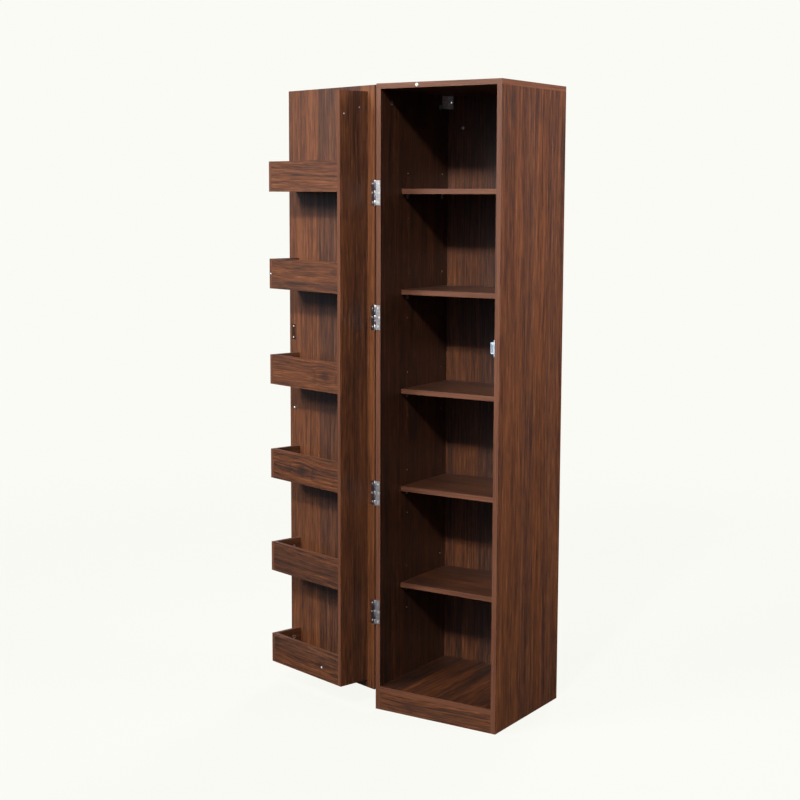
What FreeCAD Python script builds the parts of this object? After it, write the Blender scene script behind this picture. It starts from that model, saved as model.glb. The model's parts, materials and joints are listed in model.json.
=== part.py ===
import FreeCAD, Part
import math
import os
import re
import Sketcher

# Tall pantry cabinet: a carcass of laminated boards with five loose shelves, and a full-overlay door
# on four butt hinges that carries a rack of six baskets on its inner face.
# Millimetres. +X to the right, +Y to the back, +Z up. The origin is the middle of the front plinth's
# underside. The door's pieces are made as if shut, about the hinge axis, and hung open at the end.

SIZES = [
    ("cabinet_height", 1800, "floor to the upper face of the top panel"),
    ("cabinet_width", 400, "over the side panels"),
    ("cabinet_depth", 375, "side panels, front to back"),
    ("board", 15, "thickness of the carcass, shelf and door boards"),
    ("rack_board", 12, "thickness of the rack boards on the door"),
    ("back_board", 3, "thickness of the back panel"),
    ("back_inset", 8, "from the rear edges to the back panel"),
    ("groove_depth", 6, "how far the back panel sits in each board"),
    ("groove_gap", 0.5, "play at the back panel's edges"),
    ("fit_gap", 0.05, "play round dowels, screws, cams and in grooves"),
    ("plinth_height", 55, "floor to the underside of the bottom panel"),
    ("shelf_setback", 107, "front plane to the shelves' front edges"),
    ("shelf_side_gap", 1, "each end of a shelf to the side panel"),
    ("shelf_rear_gap", 2, "shelf to back panel"),
    ("first_shelf_top", 358, "floor to the lowest shelf's upper face"),
    ("shelf_step", 288, "from one shelf to the next, nine 32 mm steps"),
    ("support_front", 142, "front plane to the front shelf supports"),
    ("support_rear", 332, "front plane to the rear shelf supports"),
    ("support_width", 9, "shelf support, along the side panel"),
    ("support_ledge", 9, "how far a support reaches under the shelf"),
    ("support_height", 14, "shelf support's plate, top to bottom"),
    ("support_sheet", 1.5, "shelf support's sheet thickness"),
    ("peg_radius", 2.5, "shelf support's peg"),
    ("peg_length", 8, "shelf support's peg in the side panel"),
    ("peg_drop", 4.5, "shelf's underside to the peg's axis"),
    ("spare_step", 64, "from a peg to the spare holes above and below it"),
    ("dowel_radius", 4, "carcass dowels"),
    ("dowel_length", 30, "carcass dowels"),
    ("dowel_edge", 105, "front or rear plane to a carcass dowel"),
    ("cam_radius", 7.5, "carcass cam locks"),
    ("cam_depth", 12.5, "carcass cam locks"),
    ("cam_distance", 36, "joint face to the cam's axis"),
    ("cam_edge", 56, "front or rear plane to a carcass cam"),
    ("bolt_radius", 3, "cam bolts of the carcass"),
    ("bolt_grip", 11, "cam bolt's length in the mating board"),
    ("door_gap", 3, "front plane to the shut door"),
    ("door_width", 397, "door, hinge edge to free edge"),
    ("door_bottom", 56, "floor to the door"),
    ("door_top", 1797, "floor to the door's upper edge"),
    ("door_angle", 196, "how far the door stands open here, its full swing"),
    ("pin_offset", 3, "side panel's outer face to the hinge axis"),
    ("rack_inset", 31, "door's hinge edge to the rack's side board"),
    ("rack_width", 331, "rack, over its side board and its end boards"),
    ("rack_depth", 101, "door's inner face to the rack's front"),
    ("rack_bottom", 78, "floor to the rack"),
    ("rack_top", 1780, "floor to the top of the rack's side board"),
    ("basket_step", 284.5, "from one basket to the next"),
    ("rail_height", 88, "basket rails and end boards"),
    ("rack_dowel_radius", 3, "rack dowels"),
    ("rack_dowel_long", 16, "rack dowel's part in a board's edge"),
    ("rack_dowel_short", 8, "rack dowel's part in a board's face"),
    ("rack_cam_radius", 6, "rack cam locks"),
    ("rack_cam_depth", 9.5, "rack cam locks"),
    ("rack_cam_distance", 26, "door's inner face to a cam's axis"),
    ("rack_cam_rise", 64, "basket's underside to its cam's axis"),
    ("side_cam_drop", 45, "top of the rack's side board to its first cam"),
    ("rack_bolt_radius", 2.5, "cam bolts of the rack"),
    ("hinge_low", 290, "floor to the lowest hinge's middle"),
    ("hinge_mid_low", 641, "floor to the second hinge's middle"),
    ("hinge_mid_high", 1147, "floor to the third hinge's middle"),
    ("hinge_high", 1498, "floor to the top hinge's middle"),
    ("leaf_length", 70, "hinge leaf, top to bottom"),
    ("leaf_width", 14, "hinge leaf on the board"),
    ("leaf_sheet", 1.2, "hinge leaf's thickness"),
    ("knuckle_radius", 2.5, "hinge knuckle"),
    ("knuckle_gap", 0.3, "between the two leaves' knuckles"),
    ("hinge_pin_radius", 1.2, "hinge pin"),
    ("hinge_pin_head", 2.2, "radius of the hinge pin's heads"),
    ("hinge_pin_head_height", 1, "hinge pin's heads"),
    ("screw_offset", 7.5, "board's edge to the hinge screws"),
    ("screw_stagger", 2, "middle hinge screw, further from the edge"),
    ("screw_rise", 26, "hinge's middle to its outer screws"),
    ("screw_radius", 1.4, "screw shank"),
    ("screw_head", 3, "radius of a countersunk head"),
    ("screw_length", 12, "screw shank in the board"),
    ("catch_middle", 1081, "floor to the magnetic catch's middle"),
    ("catch_base_height", 46, "catch's base with its ears"),
    ("catch_base_sheet", 2, "catch's base thickness"),
    ("catch_height", 31, "catch's body"),
    ("catch_width", 12, "side panel to the catch's inner side"),
    ("catch_depth", 19, "catch, front to back"),
    ("catch_setback", 0.5, "front plane to the catch's front"),
    ("ear_rise", 19.3, "catch's middle to its screws"),
    ("magnet_height", 24, "magnet and pole plates"),
    ("magnet_sheet", 3, "magnet's thickness"),
    ("magnet_depth", 12, "magnet, front to back"),
    ("pole_sheet", 1.4, "pole plate's thickness"),
    ("pole_depth", 15, "pole plate, front to back"),
    ("pole_proud", 2, "how far the pole plates stand out of the catch"),
    ("pan_radius", 2.6, "radius of a pan head"),
    ("pan_height", 1.6, "pan head"),
    ("strike_width", 15, "strike plate"),
    ("strike_height", 46, "strike plate"),
    ("strike_sheet", 1.2, "strike plate"),
    ("strike_offset", 378, "door's hinge edge to the strike plate's middle"),
    ("strike_rise", 16.5, "strike plate's middle to its screws"),
    ("knob_offset", 376, "door's hinge edge to the knob"),
    ("knob_level", 849, "floor to the knob"),
    ("knob_radius", 14, "knob"),
    ("knob_head", 11, "thickness of the knob's head"),
    ("knob_neck_radius", 7, "knob's neck"),
    ("knob_neck", 12, "length of the knob's neck"),
    ("knob_round", 4, "rounding of the knob's rim"),
    ("knob_screw_radius", 2, "knob's screw"),
    ("knob_screw_head", 4, "radius of the knob screw's head"),
    ("knob_screw_head_height", 2.2, "knob screw's head"),
    ("knob_screw_grip", 9, "knob screw's length in the knob"),
    ("bracket_height", 38, "corner bracket"),
    ("bracket_sheet", 2, "corner bracket"),
    ("bracket_side_leg", 34, "bracket's leg on the side panel"),
    ("bracket_back_leg", 18, "bracket's leg on the back panel"),
    ("bracket_hole_radius", 2.75, "hole for the screw into the wall"),
    ("bracket_hole_offset", 11, "side panel to the wall screw's hole"),
    ("anchor_offset", 51, "side panel to the anchor screw"),
    ("anchor_level", 1690, "floor to the anchor screw"),
    ("anchor_radius", 2.2, "anchor screw"),
    ("anchor_head", 5.5, "radius of the anchor screw's head"),
    ("anchor_head_height", 2, "anchor screw's head"),
    ("anchor_tail", 4.5, "anchor screw behind the back panel"),
    ("bumper_radius", 5, "bumper on the top panel"),
    ("bumper_height", 2, "bumper on the top panel"),
    ("bumper_offset", 133, "cabinet's left side to the bumper"),
    ("bumper_level", 1792, "floor to the bumper"),
    ("dot_radius", 2.8, "bumper dots on the front of the rack"),
    ("small_dot_radius", 1.8, "bumper dots on the rack's side board"),
    ("dot_height", 1.5, "bumper dots on the rack"),
]
ALIASES = {alias for alias, value, note in SIZES}
VALUES = {alias: value for alias, value, note in SIZES}
SHELVES = 5
BASKETS = 6
HINGES = ("hinge_low", "hinge_mid_low", "hinge_mid_high", "hinge_high")

doc = FreeCAD.newDocument("pantry_cabinet")
sheet = doc.addObject("Spreadsheet::Sheet", "Sizes")
for row, (alias, value, note) in enumerate(SIZES, start=1):
    sheet.set(f"A{row}", str(value))
    sheet.setAlias(f"A{row}", alias)
    sheet.set(f"B{row}", note)
doc.recompute()

# Places in the cabinet's frame, as expressions of the sheet's cells.
FRONT = "(-board/2)"
REAR = "(cabinet_depth-board/2)"
HALF_INSIDE = "(cabinet_width/2-board)"
TOP_UNDERSIDE = "(cabinet_height-board)"
FLOOR_TOP = "(plinth_height+board)"
BACK_FACE = "(cabinet_depth-board/2-back_inset-back_board)"
PIN_X = "(-cabinet_width/2-pin_offset)"
PIN_Y = "(-board/2-door_gap/2)"

# Places in the door's frame: X from the hinge axis to the free edge, Y into the cabinet, door shut.
DOOR_FACE = "(-door_gap/2)"
DOOR_OUTSIDE = "(-door_gap/2-board)"
RACK_FRONT = "(rack_depth-door_gap/2)"
RACK_OUTER = "(pin_offset+rack_inset)"
RACK_INNER = "(pin_offset+rack_inset+rack_board)"
END_INNER = "(pin_offset+rack_inset+rack_width-rack_board)"

TURNS = {
    "+x": FreeCAD.Rotation(FreeCAD.Vector(0, 1, 0), 90),
    "-x": FreeCAD.Rotation(FreeCAD.Vector(0, 1, 0), -90),
    "+y": FreeCAD.Rotation(FreeCAD.Vector(1, 0, 0), -90),
    "-y": FreeCAD.Rotation(FreeCAD.Vector(1, 0, 0), 90),
    "+z": FreeCAD.Rotation(),
}
nodes = []
bores = {}


def from_sheet(text):
    """Turns the sheet's names in an expression into references to its cells."""

    def cell(word):
        return "Sizes." + word.group() if word.group() in ALIASES else word.group()

    return re.sub(r"[a-z][a-z0-9_]*", cell, text)


def bind(item, prop, text):
    item.setExpression(prop, from_sheet(text))


def locate(item, at):
    for axis, text in zip("xyz", at):
        bind(item, f"Placement.Base.{axis}", text)


def block(name, at, size):
    """A box from its lowest corner."""
    item = doc.addObject("Part::Box", name)
    for prop, text in zip(("Length", "Width", "Height"), size):
        bind(item, prop, text)
    locate(item, at)
    return item


def rod(name, at, radius, length, direction):
    """A cylinder from the middle of its first end."""
    item = doc.addObject("Part::Cylinder", name)
    item.Placement = FreeCAD.Placement(FreeCAD.Vector(), TURNS[direction])
    bind(item, "Radius", radius)
    bind(item, "Height", length)
    locate(item, at)
    return item


def cone(name, at, first_radius, last_radius, length, direction):
    item = doc.addObject("Part::Cone", name)
    item.Placement = FreeCAD.Placement(FreeCAD.Vector(), TURNS[direction])
    bind(item, "Radius1", first_radius)
    bind(item, "Radius2", last_radius)
    bind(item, "Height", length)
    locate(item, at)
    return item


def fuse(name, pieces):
    item = doc.addObject("Part::MultiFuse", name)
    item.Shapes = pieces
    return item


def together(name, pieces):
    item = doc.addObject("Part::Compound", name)
    item.Links = pieces
    return item


def cut(name, base, tools):
    item = doc.addObject("Part::Cut", name)
    item.Base = base
    item.Tool = tools[0] if len(tools) == 1 else together(name + "Tools", tools)
    return item


def keep(item, label):
    """Makes an object a node of the cabinet, with its own file."""
    item.Label = label
    nodes.append(item)
    return item


def bore(tool, *labels):
    """Notes that a tool is cut out of the boards with these labels."""
    for label in labels:
        bores.setdefault(label, []).append(tool)


def board(label, at, size):
    """A board with every bore, groove and seat that was noted for it."""
    plain = block(label + "_blank", at, size)
    return keep(cut(label + "_bored", plain, bores[label]), label)


def offset(at, shift):
    """Moves a place along X, Y or Z, such as shift = ("x", "board/2")."""
    axis, text = shift
    return tuple(f"{place}+({text})" if name == axis else place for name, place in zip("xyz", at))


def dowel(at, radius, length, direction, *labels):
    """A dowel and its hole in two boards."""
    bore(rod("DowelHole", at, radius + "+fit_gap", length, direction), *labels)
    return rod("Dowel", at, radius, length, direction)


def cam_joint(at, seat_turn, bolt_at, bolt_turn, kind, bolt_length, cam_board, mate_board):
    """A cam lock set in one board's face and the bolt that it draws out of the other board."""
    radius, depth, bolt_radius = kind
    seat = rod("CamSeat", at, radius + "+fit_gap", depth, seat_turn)
    bolt_hole = rod("BoltHole", bolt_at, bolt_radius + "+fit_gap", bolt_length, bolt_turn)
    bore(seat, cam_board)
    bore(bolt_hole, cam_board, mate_board)
    cam = cut("Cam", rod("CamDisc", at, radius, depth, seat_turn), [bolt_hole])
    return cam, rod("CamBolt", bolt_at, bolt_radius, bolt_length, bolt_turn)


def flat_screw(at, direction, sheet_name, board_label, leaf_tools):
    """A countersunk screw through a thin plate, head flush with the plate, into a board."""
    axis = direction[1]
    sign = direction[0]
    under = offset(at, (axis, f"{sign}{sheet_name}"))
    head = cone("ScrewHead", at, "screw_head", "screw_radius", sheet_name, direction)
    shank = rod("ScrewShank", under, "screw_radius", "screw_length", direction)
    seat = cone("ScrewSeat", at, "screw_head+fit_gap", "screw_radius+fit_gap", sheet_name, direction)
    bore(rod("ScrewHole", under, "screw_radius+fit_gap", "screw_length", direction), board_label)
    leaf_tools.append(seat)
    return fuse("Screw", [head, shank])


def pan_screw(at, direction, sheet_name, board_label, plate_tools):
    """A pan-head screw through a plate that starts at the given place, into a board."""
    axis = direction[1]
    sign = direction[0]
    opposite = "-" if sign == "+" else "+"
    head_at = offset(at, (axis, f"{opposite}pan_height"))
    length = f"{sheet_name}+screw_length"
    head = rod("PanHead", head_at, "pan_radius", "pan_height", direction)
    shank = rod("PanShank", at, "screw_radius", length, direction)
    hole = rod("PanHole", at, "screw_radius+fit_gap", length, direction)
    bore(hole, board_label)
    plate_tools.append(hole)
    return fuse("PanScrew", [head, shank])


def new_body(name):
    return doc.addObject("PartDesign::Body", name)


def sketch_on(body, plane, corners):
    """A closed outline on one of the body's origin planes, each corner bound to the sheet."""
    sketch = body.newObject("Sketcher::SketchObject", body.Name + "Sketch")
    support = [f for f in body.Origin.OriginFeatures if f.Role == plane][0]
    sketch.AttachmentSupport = (support, [""])
    sketch.MapMode = "FlatFace"
    count = len(corners)
    turns = [2 * math.pi * i / count for i in range(count)]
    rough = [FreeCAD.Vector(10 * math.cos(a), 10 * math.sin(a), 0) for a in turns]
    for i in range(count):
        sketch.addGeometry(Part.LineSegment(rough[i], rough[(i + 1) % count]))
    for i in range(count):
        sketch.addConstraint(Sketcher.Constraint("Coincident", i, 2, (i + 1) % count, 1))
    for i, corner in enumerate(corners):
        for kind, rough_value, text in zip(("DistanceX", "DistanceY"), (rough[i].x, rough[i].y), corner):
            index = sketch.addConstraint(Sketcher.Constraint(kind, -1, 1, i, 1, rough_value))
            bind(sketch, f"Constraints[{index}]", text)
    return sketch


def pad(body, sketch, length):
    item = body.newObject("PartDesign::Pad", body.Name + "Pad")
    item.Profile = sketch
    bind(item, "Length", length)
    return item


def hang(item):
    """Hangs a piece of the shut door on the hinge axis, swung open."""
    item.Placement = FreeCAD.Placement(FreeCAD.Vector(), FreeCAD.Rotation(FreeCAD.Vector(0, 0, -1), 1))
    bind(item, "Placement.Rotation.Angle", "door_angle")
    locate(item, (PIN_X, PIN_Y, "0"))
    return item


def carcass_joints():
    """Cam locks and dowels between the carcass boards, and the groove for the back panel."""
    cams, bolts, dowels = [], [], []
    kind = ("cam_radius", "cam_depth", "bolt_radius")
    bolt_length = "cam_distance+bolt_grip"
    for side, sign, outward in (("left", "-1", "-x"), ("right", "1", "+x")):
        label = f"side_panel_{side}"
        wall = f"{sign}*{HALF_INSIDE}"
        middle = f"{sign}*(cabinet_width/2-board/2)"
        inboard = f"{wall}-{sign}*cam_distance"
        for y in (f"{FRONT}+cam_edge", f"{REAR}-cam_edge"):
            level = f"{TOP_UNDERSIDE}-cam_distance"
            top_joint = cam_joint(
                (wall, y, level),
                outward,
                (middle, y, level),
                "+z",
                kind,
                bolt_length,
                label,
                "top_panel",
            )
            bottom_joint = cam_joint(
                (inboard, y, "plinth_height"),
                "+z",
                (inboard, y, "plinth_height+board/2"),
                outward,
                kind,
                bolt_length,
                "bottom_panel",
                label,
            )
            for cam, bolt in (top_joint, bottom_joint):
                cams.append(cam)
                bolts.append(bolt)
        start = f"{wall}-{sign}*dowel_length*2/3"
        for y in (f"{FRONT}+dowel_edge", f"{REAR}-dowel_edge"):
            upright = (middle, y, f"{TOP_UNDERSIDE}-dowel_length*2/3")
            dowels.append(dowel(upright, "dowel_radius", "dowel_length", "+z", label, "top_panel"))
            lying = (start, y, "plinth_height+board/2")
            dowels.append(dowel(lying, "dowel_radius", "dowel_length", outward, "bottom_panel", label))
        for share in ("0.28", "0.72"):
            lying = (start, "0", f"plinth_height*{share}")
            dowels.append(dowel(lying, "dowel_radius", "dowel_length", outward, "front_plinth", label))
    groove = block(
        "Groove",
        (f"-{HALF_INSIDE}-groove_depth", f"{BACK_FACE}-fit_gap", f"{FLOOR_TOP}-groove_depth"),
        (
            f"2*({HALF_INSIDE}+groove_depth)",
            "back_board+2*fit_gap",
            f"{TOP_UNDERSIDE}-{FLOOR_TOP}+2*groove_depth",
        ),
    )
    bore(groove, "side_panel_left", "side_panel_right", "top_panel", "bottom_panel")
    keep(together("CabinetCams", cams), "cam_locks_cabinet")
    keep(together("CabinetBolts", bolts), "cam_bolts_cabinet")
    keep(together("CabinetDowels", dowels), "dowels_cabinet")


def shelf_supports():
    """L-shaped supports under each shelf, on pegs in the side panels, with spare peg holes."""
    supports = []
    for side, sign, outward in (("left", "-1", "-x"), ("right", "1", "+x")):
        wall = f"{sign}*{HALF_INSIDE}"
        reach = "0" if side == "left" else "1"
        for number in range(SHELVES):
            under = f"first_shelf_top+{number}*shelf_step-board"
            for depth in ("support_front", "support_rear"):
                y = f"{FRONT}+{depth}"
                peg_at = (wall, y, f"{under}-peg_drop")
                plate = block(
                    "SupportPlate",
                    (f"{wall}-{reach}*support_sheet", f"{y}-support_width/2", f"{under}-support_height"),
                    ("support_sheet", "support_width", "support_height"),
                )
                ledge = block(
                    "SupportLedge",
                    (f"{wall}-{reach}*support_ledge", f"{y}-support_width/2", f"{under}-support_sheet"),
                    ("support_ledge", "support_width", "support_sheet"),
                )
                peg = rod("Peg", peg_at, "peg_radius", "peg_length", outward)
                supports.append(fuse("Support", [plate, ledge, peg]))
                for step in ("-spare_step", "0", "spare_step"):
                    hole_at = offset(peg_at, ("z", step))
                    hole = rod("PegHole", hole_at, "peg_radius+fit_gap", "peg_length", outward)
                    bore(hole, f"side_panel_{side}")
    keep(together("ShelfSupports", supports), "shelf_supports")


def hinge_leaf(name, middle, plate, pin_at, own_first, screw_tools):
    """One leaf: a plate with its knuckles round the pin, cut away where the other leaf's are."""
    x, y = pin_at
    low = f"{middle}-leaf_length/2"
    barrel = rod("Barrel", (x, y, low), "knuckle_radius", "leaf_length", "+z")
    pin_hole = rod("PinHole", (x, y, low), "hinge_pin_radius+fit_gap", "leaf_length", "+z")
    tools = [pin_hole] + screw_tools
    for fifth in range(1 if own_first else 0, 5, 2):
        start = f"{low}+leaf_length*{fifth}/5-knuckle_gap/2"
        room = rod("Room", (x, y, start), "knuckle_radius+knuckle_gap", "leaf_length/5+knuckle_gap", "+z")
        tools.append(room)
    return cut(name, fuse(name + "Blank", [plate, barrel]), tools)


def hinges():
    """Four butt hinges: one leaf on the side panel's front edge, the other on the door's inner face."""
    pins, cabinet_screws, door_screws = [], [], []
    span = "pin_offset+leaf_width"
    for number, middle in enumerate(HINGES, start=1):
        low = f"{middle}-leaf_length/2"
        cabinet_tools, door_tools = [], []
        for rise, stagger in (("-screw_rise", "0"), ("0", "screw_stagger"), ("screw_rise", "0")):
            level = f"{middle}+{rise}"
            cabinet_at = (f"{PIN_X}+pin_offset+screw_offset+{stagger}", f"{FRONT}-leaf_sheet", level)
            door_at = (f"pin_offset+screw_offset+{stagger}", f"{DOOR_FACE}+leaf_sheet", level)
            cabinet_screw = flat_screw(cabinet_at, "+y", "leaf_sheet", "side_panel_left", cabinet_tools)
            cabinet_screws.append(cabinet_screw)
            door_screw = flat_screw(door_at, "-y", "leaf_sheet", "door_panel", door_tools)
            door_screws.append(door_screw)
        leaf_size = (span, "leaf_sheet", "leaf_length")
        cabinet_plate = block("Plate", (PIN_X, f"{FRONT}-leaf_sheet", low), leaf_size)
        cabinet_leaf = hinge_leaf("CabinetLeaf", middle, cabinet_plate, (PIN_X, PIN_Y), True, cabinet_tools)
        keep(cabinet_leaf, f"hinge_leaf_cabinet_{number}")
        door_plate = block("Plate", ("0", DOOR_FACE, low), leaf_size)
        door_leaf = hinge_leaf("DoorLeaf", middle, door_plate, ("0", "0"), False, door_tools)
        keep(hang(door_leaf), f"hinge_leaf_door_{number}")
        stem = rod("PinStem", (PIN_X, PIN_Y, low), "hinge_pin_radius", "leaf_length", "+z")
        foot_at = (PIN_X, PIN_Y, f"{low}-hinge_pin_head_height")
        foot = rod("PinFoot", foot_at, "hinge_pin_head", "hinge_pin_head_height", "+z")
        head_at = (PIN_X, PIN_Y, f"{low}+leaf_length")
        head = rod("PinHead", head_at, "hinge_pin_head", "hinge_pin_head_height", "+z")
        pins.append(fuse("HingePin", [stem, foot, head]))
    keep(together("HingePins", pins), "hinge_pins")
    keep(together("HingeScrews", cabinet_screws), "hinge_screws_cabinet")
    return door_screws


def strike_plate():
    """The steel plate on the door that the catch holds, and its two screws."""
    body = new_body("Strike")
    left = "pin_offset+strike_offset-strike_width/2"
    right = "pin_offset+strike_offset+strike_width/2"
    sketch = sketch_on(
        body,
        "XY_Plane",
        [
            (left, DOOR_FACE),
            (right, DOOR_FACE),
            (right, f"{DOOR_FACE}+strike_sheet"),
            (left, f"{DOOR_FACE}+strike_sheet"),
        ],
    )
    pad(body, sketch, "strike_height")
    locate(body, ("0", "0", "catch_middle-strike_height/2"))
    tools = []
    screws = []
    for rise in ("-strike_rise", "strike_rise"):
        at = ("pin_offset+strike_offset", f"{DOOR_FACE}+strike_sheet", f"catch_middle+{rise}")
        screws.append(flat_screw(at, "-y", "strike_sheet", "door_panel", tools))
    keep(hang(cut("StrikeDrilled", body, tools)), "strike_plate")
    return screws


def catch():
    """Magnetic catch on the right side panel: housing, magnet between two pole plates, two screws."""
    front = f"{FRONT}+catch_setback"
    middle_x = f"{HALF_INSIDE}-(catch_width+catch_base_sheet)/2"
    pocket_width = "magnet_sheet+2*pole_sheet+2*fit_gap"
    base = block(
        "CatchBase",
        (f"{HALF_INSIDE}-catch_base_sheet", front, "catch_middle-catch_base_height/2"),
        ("catch_base_sheet", "catch_depth", "catch_base_height"),
    )
    shell = block(
        "CatchShell",
        (f"{HALF_INSIDE}-catch_width", front, "catch_middle-catch_height/2"),
        ("catch_width", "catch_depth", "catch_height"),
    )
    pocket = block(
        "CatchPocket",
        (f"{middle_x}-({pocket_width})/2", front, "catch_middle-magnet_height/2-fit_gap"),
        (pocket_width, "pole_depth-pole_proud+fit_gap", "magnet_height+2*fit_gap"),
    )
    tools = [pocket]
    screws = []
    for rise in ("-ear_rise", "ear_rise"):
        at = (f"{HALF_INSIDE}-catch_base_sheet", f"{front}+catch_depth/2", f"catch_middle+{rise}")
        screws.append(pan_screw(at, "+x", "catch_base_sheet", "side_panel_right", tools))
    keep(cut("CatchHousing", fuse("CatchBlank", [base, shell]), tools), "catch_housing")
    magnet_at = (f"{middle_x}-magnet_sheet/2", f"{front}+0.5*catch_setback", "catch_middle-magnet_height/2")
    keep(block("CatchMagnet", magnet_at, ("magnet_sheet", "magnet_depth", "magnet_height")), "catch_magnet")
    poles = []
    for x in (f"{middle_x}-magnet_sheet/2-pole_sheet", f"{middle_x}+magnet_sheet/2"):
        at = (x, f"{front}-pole_proud", "catch_middle-magnet_height/2")
        poles.append(block("Pole", at, ("pole_sheet", "pole_depth", "magnet_height")))
    keep(together("CatchPoles", poles), "catch_pole_plates")
    return screws


def corner_bracket():
    """Steel angle in the top rear corner that ties the cabinet to a wall, with two screws."""
    body = new_body("Bracket")
    corner = f"-{HALF_INSIDE}"
    outline = [
        (corner, BACK_FACE),
        (corner, f"{BACK_FACE}-bracket_side_leg"),
        (f"{corner}+bracket_sheet", f"{BACK_FACE}-bracket_side_leg"),
        (f"{corner}+bracket_sheet", f"{BACK_FACE}-bracket_sheet"),
        (f"{corner}+bracket_back_leg", f"{BACK_FACE}-bracket_sheet"),
        (f"{corner}+bracket_back_leg", BACK_FACE),
    ]
    pad(body, sketch_on(body, "XY_Plane", outline), "bracket_height")
    low = f"{TOP_UNDERSIDE}-bracket_height-1"
    locate(body, ("0", "0", low))
    wall_hole_at = (
        f"{corner}+bracket_hole_offset",
        f"{BACK_FACE}-bracket_sheet",
        f"{low}+bracket_height/2",
    )
    hole_length = "bracket_sheet+back_board"
    wall_hole = rod("WallHole", wall_hole_at, "bracket_hole_radius", hole_length, "+y")
    bore(wall_hole, "back_panel")
    tools = [wall_hole]
    screws = []
    for rise in ("bracket_height*0.22", "bracket_height*0.78"):
        at = (f"{corner}+bracket_sheet", f"{BACK_FACE}-bracket_side_leg*0.78", f"{low}+{rise}")
        screws.append(pan_screw(at, "-x", "bracket_sheet", "side_panel_left", tools))
    keep(cut("BracketDrilled", body, tools), "wall_bracket")
    return screws


def anchor_screw():
    """Round-headed anchor screw through the back panel, its tail inside the rear recess."""
    x = f"-{HALF_INSIDE}+anchor_offset"
    head_at = (x, f"{BACK_FACE}-anchor_head_height", "anchor_level")
    length = "back_board+anchor_tail"
    shank_at = (x, BACK_FACE, "anchor_level")
    head = rod("AnchorHead", head_at, "anchor_head", "anchor_head_height", "+y")
    shank = rod("AnchorShank", shank_at, "anchor_radius", length, "+y")
    bore(rod("AnchorHole", shank_at, "anchor_radius+fit_gap", length, "+y"), "back_panel")
    keep(fuse("AnchorScrew", [head, shank]), "anchor_screw")


def knob():
    """Turned knob outside the door, held by one screw from the inside."""
    body = new_body("Knob")
    neck_end = f"{DOOR_OUTSIDE}-knob_neck"
    head_end = f"{DOOR_OUTSIDE}-knob_neck-knob_head"
    outline = [
        ("0", DOOR_OUTSIDE),
        ("knob_neck_radius", DOOR_OUTSIDE),
        ("knob_neck_radius", neck_end),
        ("knob_radius", neck_end),
        ("knob_radius", head_end),
        ("0", head_end),
    ]
    sketch = sketch_on(body, "XY_Plane", outline)
    turned = body.newObject("PartDesign::Revolution", "KnobTurned")
    turned.Profile = sketch
    turned.ReferenceAxis = (sketch, ["V_Axis"])
    turned.Angle = 360
    doc.recompute()
    rims = [
        f"Edge{number}"
        for number, edge in enumerate(turned.Shape.Edges, start=1)
        if isinstance(edge.Curve, Part.Circle) and abs(edge.Curve.Radius - VALUES["knob_radius"]) < 0.01
    ]
    rounding = body.newObject("PartDesign::Fillet", "KnobRounding")
    rounding.Base = (turned, rims)
    bind(rounding, "Radius", "knob_round")
    locate(body, ("pin_offset+knob_offset", "0", "knob_level"))
    x = "pin_offset+knob_offset"
    length = "board+knob_screw_grip"
    at = (x, DOOR_FACE, "knob_level")
    hole = rod("KnobScrewHole", at, "knob_screw_radius+fit_gap", length, "-y")
    bore(hole, "door_panel")
    keep(hang(cut("KnobDrilled", body, [hole])), "door_knob")
    head_at = (x, f"{DOOR_FACE}+knob_screw_head_height", "knob_level")
    head = rod("KnobScrewHead", head_at, "knob_screw_head", "knob_screw_head_height", "-y")
    shank = rod("KnobScrewShank", at, "knob_screw_radius", length, "-y")
    keep(hang(fuse("KnobScrew", [head, shank])), "knob_screw")


def bumpers():
    """Soft dots: one on the top panel's front edge, and four on the rack."""
    top_at = ("bumper_offset-cabinet_width/2", f"{FRONT}-bumper_height", "bumper_level")
    keep(rod("TopBumper", top_at, "bumper_radius", "bumper_height", "+y"), "top_bumper")
    outer = f"{RACK_OUTER}-dot_height"
    places = (
        ((outer, f"{DOOR_FACE}+31", "rack_top-45"), "+x", "small_dot_radius"),
        ((outer, f"{DOOR_FACE}+86", "rack_top-64"), "+x", "small_dot_radius"),
        (("pin_offset+120", RACK_FRONT, "rack_bottom+37"), "+y", "dot_radius"),
        (
            (f"{END_INNER}+rack_board/2", RACK_FRONT, "rack_bottom+4*basket_step+rail_height/2"),
            "+y",
            "dot_radius",
        ),
    )
    dots = [rod("Dot", at, radius, "dot_height", direction) for at, direction, radius in places]
    keep(hang(together("RackDots", dots)), "rack_bumpers")


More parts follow.
